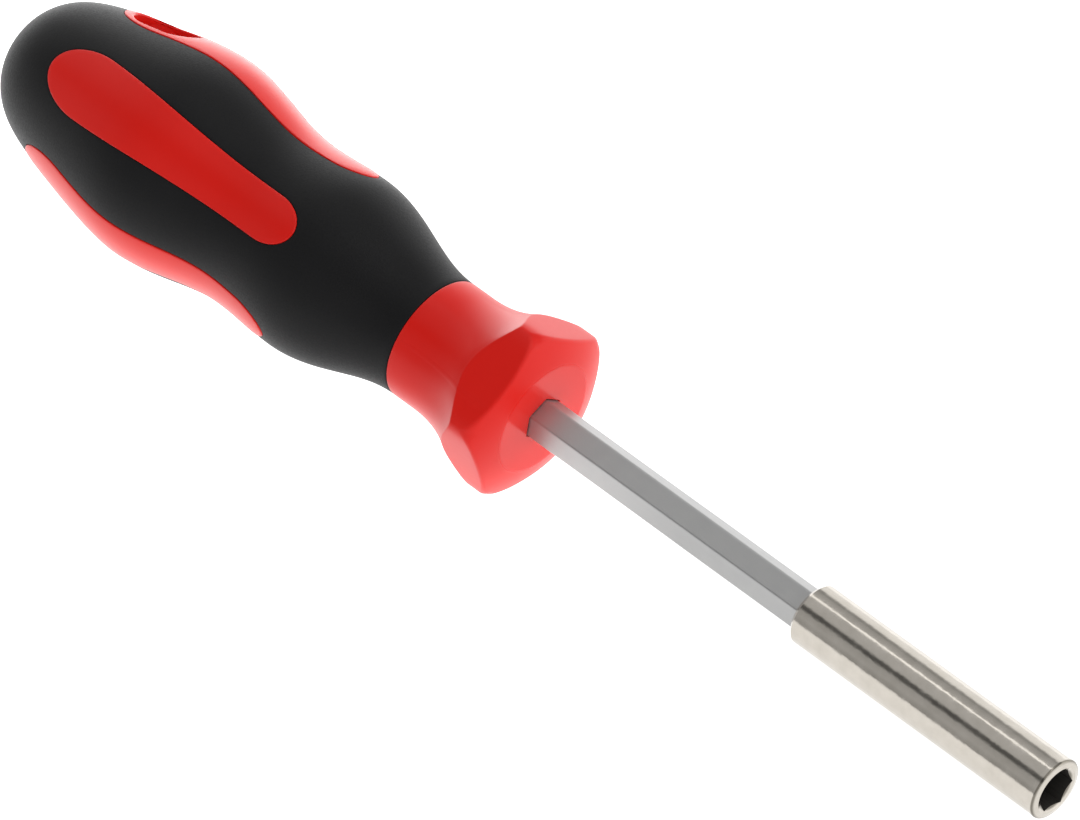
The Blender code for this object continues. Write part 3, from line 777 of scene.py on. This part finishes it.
# The hex seat for the tang: in from the face, then out again to clear the swaged wings.
from_hex_flat = (ring_turns - HEX_CORNER_TURN) % HEX_SECTOR - HEX_SECTOR / 2
hex_radius = (HEX_ACROSS_FLATS / 2 + TANG_CLEARANCE) / np.cos(from_hex_flat)
profile += [(face, (FACE_RADIUS - COLLAR_EDGE) * (1 - s) + (hex_radius + SEAT_CHAMFER) * s)
            for s in shares(FACE_STEPS)]
profile.append((face - SEAT_CHAMFER_DEPTH, hex_radius))
parting = [round((SECTOR / 2 - turn) / SECTOR * SIDE_STEPS) % RING_POINTS
           for turn in (PARTING_LINE_TURN, PARTING_LINE_TURN + math.pi)]
collar_rings = []
for x, r in profile:
    r = np.array(r)
    if np.min(x) > grip_front + NECK_LENGTH / 2 and np.max(x) < rim_front:
        r[parting] += PARTING_LINE_HEIGHT
    collar_rings.append(around(x, r, ring_turns))
upright_turn = HEX_CORNER_TURN - math.pi / 2
wing_x = hex_radius * np.cos(ring_turns - upright_turn) * widen[0]
wing_y = hex_radius * np.sin(ring_turns - upright_turn) * widen[1]
hex_section = (hex_radius, ring_turns)
wing_section = (np.hypot(wing_x, wing_y), np.arctan2(wing_y, wing_x) + upright_turn)
seat_rear = tang_rear - TANG_CLEARANCE
for x, section in ((wing_front, hex_section), (wing_front - WING_BLEND, wing_section),
                   (wing_rear + WING_BLEND, wing_section), (wing_rear, hex_section),
                   (seat_rear, hex_section), (seat_rear, (0, ring_turns))):
    collar_rings.append(around(x, *section))
chains.append(handle_rings(front_places, -CORE_DEPTH) + collar_rings)
moulded_handle = skin_rings("moulded_handle", chains)

# Injection-moulded polypropylene, coloured through: a saturated red with a soft shine, a very fine
# orange-peel skin from the mould, slight clouds in the colour, and a glossier disc on the front face.
PEEL_SIZE = 0.7 * MM
CLOUD_SIZE = 7 * MM
HAZE_END = 0.08 * MM
GLOSS_START = 0.02 * MM
red_plastic, tree, shader, place = new_material("moulded_red_polypropylene")
peel = add_node(tree, "ShaderNodeTexNoise", {
    "Vector": place, "Scale": 1 / PEEL_SIZE, "Detail": 3.0}).outputs["Fac"]
clouds = add_node(tree, "ShaderNodeTexNoise", {
    "Vector": place, "Scale": 1 / CLOUD_SIZE, "Detail": 3.0}).outputs["Fac"]
tint = add_node(tree, "ShaderNodeMix", {
    "Factor": clouds, "A": linear("#D7180F"), "B": linear("#DC1B11")}, data_type="RGBA")
forward = add_node(tree, "ShaderNodeSeparateXYZ", {"Vector": place}).outputs["X"]
haze = add_node(tree, "ShaderNodeMapRange", {
    "Value": forward, "From Min": collar_face - HAZE_END, "From Max": collar_face - GLOSS_START,
    "To Min": 0.29, "To Max": 0.16})
dullness = add_node(tree, "ShaderNodeMath", {
    0: peel, 1: 0.06, 2: haze.outputs["Result"]}, operation="MULTIPLY_ADD")
relief = add_node(tree, "ShaderNodeBump", {"Height": peel, "Strength": 0.06, "Distance": 0.02 * MM})
fill_sockets(tree, shader, {
    "Base Color": tint.outputs["Result"], "Roughness": dullness.outputs["Value"], "IOR": 1.49,
    "Specular IOR Level": 0.22, "Normal": relief.outputs["Normal"]})
moulded_handle.data.materials.append(red_plastic)
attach(moulded_handle, "root")
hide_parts("handle_body")

# Soft grip
# The second shot: black thermoplastic rubber moulded over the body, a hair lower than its lands. It
# is a skin of even thickness with five windows, a domed end and a rounded front edge at the neck.
SKIN = 2.4 * MM
RIM_EDGE = 0.15 * MM
FRONT_EDGE = 0.3 * MM
OVER_STEPS = 10
chains = [handle_rings(dome_places, 0), handle_rings(dome_places, -SKIN)]
for window in range(FLAT_COUNT):
    middle = SECTOR * window
    rings = sector_to_window(middle, -RIM_EDGE, 0, OVER_STEPS)
    rings += edge_rings(middle, 0, RIM_EDGE, -1)[1:]
    rings += sector_to_window(middle, 0, -SKIN, UNDER_STEPS)[::-1]
    chains.append(rings)
front_rings = handle_rings(np.linspace(sector_front, grip_front - FRONT_EDGE, FRONT_STEPS + 1), 0)
for angle in math.pi / 2 * shares(EDGE_STEPS):
    x = grip_front - FRONT_EDGE * (1 - math.sin(angle))
    front_rings += handle_rings([x], -FRONT_EDGE * (1 - math.cos(angle)))
front_rings += handle_rings(front_places, -SKIN)[::-1]
chains.append(front_rings)
moulded_grip = skin_rings("moulded_grip", chains)

# Moulded thermoplastic rubber: a dull, faintly clouded black with a spark-eroded grain, which greys
# where it is seen edge on. The real grain is about 0.1 mm; it is drawn coarser so that it shows.
GRAIN_SIZE = 0.3 * MM
BLOOM_SIZE = 9 * MM
black_rubber, tree, shader, place = new_material("moulded_black_rubber")
grain = add_node(tree, "ShaderNodeTexNoise", {
    "Vector": place, "Scale": 1 / GRAIN_SIZE, "Detail": 2.0}).outputs["Fac"]
bloom = add_node(tree, "ShaderNodeTexNoise", {
    "Vector": place, "Scale": 1 / BLOOM_SIZE, "Detail": 3.0}).outputs["Fac"]
tint = add_node(tree, "ShaderNodeMix", {
    "Factor": bloom, "A": linear("#111112"), "B": linear("#181819")}, data_type="RGBA")
dullness = add_node(tree, "ShaderNodeMapRange", {
    "Value": grain, "From Min": 0.3, "From Max": 0.7, "To Min": 0.42, "To Max": 0.54})
relief = add_node(tree, "ShaderNodeBump", {"Height": grain, "Strength": 0.4, "Distance": 0.05 * MM})
fill_sockets(tree, shader, {
    "Base Color": tint.outputs["Result"], "Roughness": dullness.outputs["Result"], "IOR": 1.45,
    "Specular IOR Level": 0.165, "Normal": relief.outputs["Normal"]})
moulded_grip.data.materials.append(black_rubber)
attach(moulded_grip, "root")
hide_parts("soft_grip")

# Floor
# A light table of frosted white acrylic, brighter under the handle and the collar. The tool lies on its
# palm swell and on the front edge of one collar flat, so the table leans a little to the tool's axis.
FLOOR_SIZE = 6.0
FLOOR_GAP = 0.05 * MM
FROST_SIZE = 40 * MM
GLOW_SLOPE = 0.525
GLOW_FULL = 30 * MM
GLOW_END = 52 * MM
COLLAR_SPOT_LIGHT = 0.6
COLLAR_SPOT_SETBACK = 4 * MM
COLLAR_SPOT_ASIDE = 4 * MM
COLLAR_SPOT_FULL = 19 * MM
COLLAR_SPOT_END = 35 * MM

# Stops of the light across the tool: millimetres from its axis, and the light there.
TABLE_REACH = 400
TABLE_LIGHT = [(-300, 0.5), (-140, 1.0), (30, 1.0), (60, 1.25)]
HANDLE_GLOW = [(-45, 0.0), (-28, 0.8), (30, 0.8), (60, 1.4)]


def light_ramp(tree, value, stops, reach, unit):
    """A light level that follows a value, through stops given from minus to plus a reach."""
    share = add_node(tree, "ShaderNodeMapRange", {
        "Value": value, "From Min": -reach * unit, "From Max": reach * unit})
    ramp = add_node(tree, "ShaderNodeValToRGB", {"Fac": share.outputs["Result"]})
    highest = max(light for place, light in stops)
    while len(ramp.color_ramp.elements) < len(stops):
        ramp.color_ramp.elements.new(1.0)
    for element, (place, light) in zip(ramp.color_ramp.elements, stops):
        element.position = 0.5 + 0.5 * place / reach
        element.color = [light / highest] * 3 + [1]
    level = add_node(tree, "ShaderNodeMath", {0: ramp.outputs["Color"], 1: highest}, operation="MULTIPLY")
    return level.outputs["Value"]


palm_contact = Vector((palm_middle, 0, axis_height - palm_radius - LAND_RISE - FLOOR_GAP))
collar_contact = Vector((lens_front.min(), 0, axis_height - COLLAR_APOTHEM - FLOOR_GAP))
floor_run = collar_contact - palm_contact
bpy.ops.object.select_all(action="DESELECT")
bpy.ops.mesh.primitive_plane_add(
    size=FLOOR_SIZE, location=palm_contact, rotation=(0, -math.atan2(floor_run.z, floor_run.x), 0))
light_table = bpy.context.object
light_table.name = "light_table"

# Frosted acrylic lit from below: a white glow over a dull grey sheet with faint clouds.
white_acrylic, tree, shader, place = new_material("lit_frosted_acrylic")
frost = add_node(tree, "ShaderNodeTexNoise", {
    "Vector": place, "Scale": 1 / FROST_SIZE, "Detail": 3.0}).outputs["Fac"]
tint = add_node(tree, "ShaderNodeMix", {
    "Factor": frost, "A": linear("#8A8A8A"), "B": linear("#8E8E8E")}, data_type="RGBA")
spot = add_node(tree, "ShaderNodeSeparateXYZ", {"Vector": place})
table_light = light_ramp(tree, spot.outputs["Y"], TABLE_LIGHT, TABLE_REACH, MM)
handle_glow = light_ramp(tree, spot.outputs["Y"], HANDLE_GLOW, TABLE_REACH, MM)

# The patch under the handle ends in front, along a line that slants back on both sides of the tool.
aside = add_node(tree, "ShaderNodeMath", {0: spot.outputs["Y"]}, operation="ABSOLUTE")
mirrored = add_node(tree, "ShaderNodeMath", {
    0: aside.outputs["Value"], 1: GLOW_SLOPE, 2: spot.outputs["X"]}, operation="MULTIPLY_ADD")
under_handle = add_node(tree, "ShaderNodeMapRange", {
    "Value": mirrored.outputs["Value"], "From Min": GLOW_FULL, "From Max": GLOW_END,
    "To Min": 1.0, "To Max": 0.0})
glowing = add_node(tree, "ShaderNodeMath", {
    0: handle_glow, 1: under_handle.outputs["Result"], 2: table_light}, operation="MULTIPLY_ADD")
from_collar = add_node(tree, "ShaderNodeVectorMath", {
    0: place, 1: (floor_run.length - COLLAR_SPOT_SETBACK, COLLAR_SPOT_ASIDE, 0)}, operation="DISTANCE")
collar_spot = add_node(tree, "ShaderNodeMapRange", {
    "Value": from_collar.outputs["Value"], "From Min": COLLAR_SPOT_FULL, "From Max": COLLAR_SPOT_END,
    "To Min": COLLAR_SPOT_LIGHT, "To Max": 0.0})
strength = add_node(tree, "ShaderNodeMath", {
    0: glowing.outputs["Value"], 1: collar_spot.outputs["Result"]}, operation="ADD")
fill_sockets(tree, shader, {
    "Base Color": tint.outputs["Result"], "Roughness": 0.7, "Emission Color": linear("#FFFFFF"),
    "Emission Strength": strength.outputs["Value"]})
light_table.data.materials.append(white_acrylic)

# Studio light
# A white tent round the tool, dim on the camera's side, with a dark slit for the lens and a bright
# seam above it. Its light follows the turn round the tool, and it is brighter past the two ends.
SLIT_TURN = math.radians(-36)

# Stops of the tent's light: degrees round the tool from the slit, and the light there.
TENT_REACH = 180
TENT_LIGHT = [(-180, 1.2), (-70, 1.1), (-58, 0.38), (-34, 0.53), (-13, 0.48), (-6, 0.12), (5, 0.12),
              (11, 0.60), (46, 0.62), (48, 1.8), (52, 1.8), (54, 0.60), (78, 0.46), (83, 0.34),
              (88, 0.40), (96, 1.15), (110, 1.2), (180, 1.2)]

# Stops of its gain along the tool: from straight back (-1) to straight ahead (1), and the gain there.
GAIN_REACH = 1
LENGTHWISE_GAIN = [(-1, 1.2), (-0.7, 1.2), (-0.5, 1.0), (-0.4, 1.0), (-0.1, 1.2), (0.5, 1.8), (1, 1.8)]
tent = bpy.data.worlds.new("light_tent")
tent.use_nodes = True
bpy.context.scene.world = tent
tree = tent.node_tree
direction = add_node(tree, "ShaderNodeTexCoord").outputs["Generated"]
to_slit = add_node(tree, "ShaderNodeVectorMath", {
    0: direction, 1: (0, math.sin(SLIT_TURN), math.cos(SLIT_TURN))}, operation="DOT_PRODUCT")
past_slit = add_node(tree, "ShaderNodeVectorMath", {
    0: direction, 1: (0, math.cos(SLIT_TURN), -math.sin(SLIT_TURN))}, operation="DOT_PRODUCT")
turn = add_node(tree, "ShaderNodeMath", {
    0: past_slit.outputs["Value"], 1: to_slit.outputs["Value"]}, operation="ARCTAN2")
cloth = light_ramp(tree, turn.outputs["Value"], TENT_LIGHT, TENT_REACH, math.radians(1))
forward = add_node(tree, "ShaderNodeSeparateXYZ", {"Vector": direction}).outputs["X"]
gain = light_ramp(tree, forward, LENGTHWISE_GAIN, GAIN_REACH, 1)
strength = add_node(tree, "ShaderNodeMath", {0: cloth, 1: gain}, operation="MULTIPLY")
fill_sockets(tree, tree.nodes["Background"], {
    "Color": linear("#FFFFFF"), "Strength": strength.outputs["Value"]})
bpy.context.scene.view_settings.view_transform = "Standard"

# Rear softbox
# A soft panel light behind the handle, low and leaning over it. It brightens the handle's upper edge
# and stays off the sleeve.
SOFTBOX_MIDDLE = Vector((-430, 299, 171)) * MM
SOFTBOX_LEAN = math.radians(63)
SOFTBOX_LENGTH = 430 * MM
SOFTBOX_HEIGHT = 360 * MM
SOFTBOX_RADIANCE = 1.1
bpy.ops.object.light_add(type="AREA", location=SOFTBOX_MIDDLE, rotation=(-SOFTBOX_LEAN, 0, 0))
softbox = bpy.context.object
softbox.name = "rear_softbox"
softbox.data.shape = "RECTANGLE"
softbox.data.size = SOFTBOX_LENGTH
softbox.data.size_y = SOFTBOX_HEIGHT
softbox.data.energy = SOFTBOX_RADIANCE * math.pi * SOFTBOX_LENGTH * SOFTBOX_HEIGHT
softbox.visible_camera = False

# Camera
# A long lens above the front of the tool and to its right, rolled a little, as in the photograph. Its
# focal length and its sensor are in millimetres.
CAMERA_AIM = Vector((0.945, 1.242, 17.672)) * MM
CAMERA_TURN = math.radians(41.18)
CAMERA_RISE = math.radians(45.07)
CAMERA_ROLL = math.radians(4.17)
CAMERA_DISTANCE = 2.8
CAMERA_SIGHT = 20
FOCAL_LENGTH = 611.3
SENSOR_WIDTH = 36
bpy.ops.object.camera_add()
camera = bpy.context.object
camera.name = "product_camera"
camera.data.lens = FOCAL_LENGTH
camera.data.sensor_width = SENSOR_WIDTH
camera.data.clip_end = CAMERA_SIGHT
toward = Vector((math.sin(CAMERA_TURN) * math.cos(CAMERA_RISE),
                 -math.cos(CAMERA_TURN) * math.cos(CAMERA_RISE), math.sin(CAMERA_RISE)))
camera.location = CAMERA_AIM + CAMERA_DISTANCE * toward
camera.rotation_euler = (toward.to_track_quat("Z", "Y").to_matrix()
                         @ Matrix.Rotation(CAMERA_ROLL, 3, "Z")).to_euler()
bpy.context.scene.camera = camera
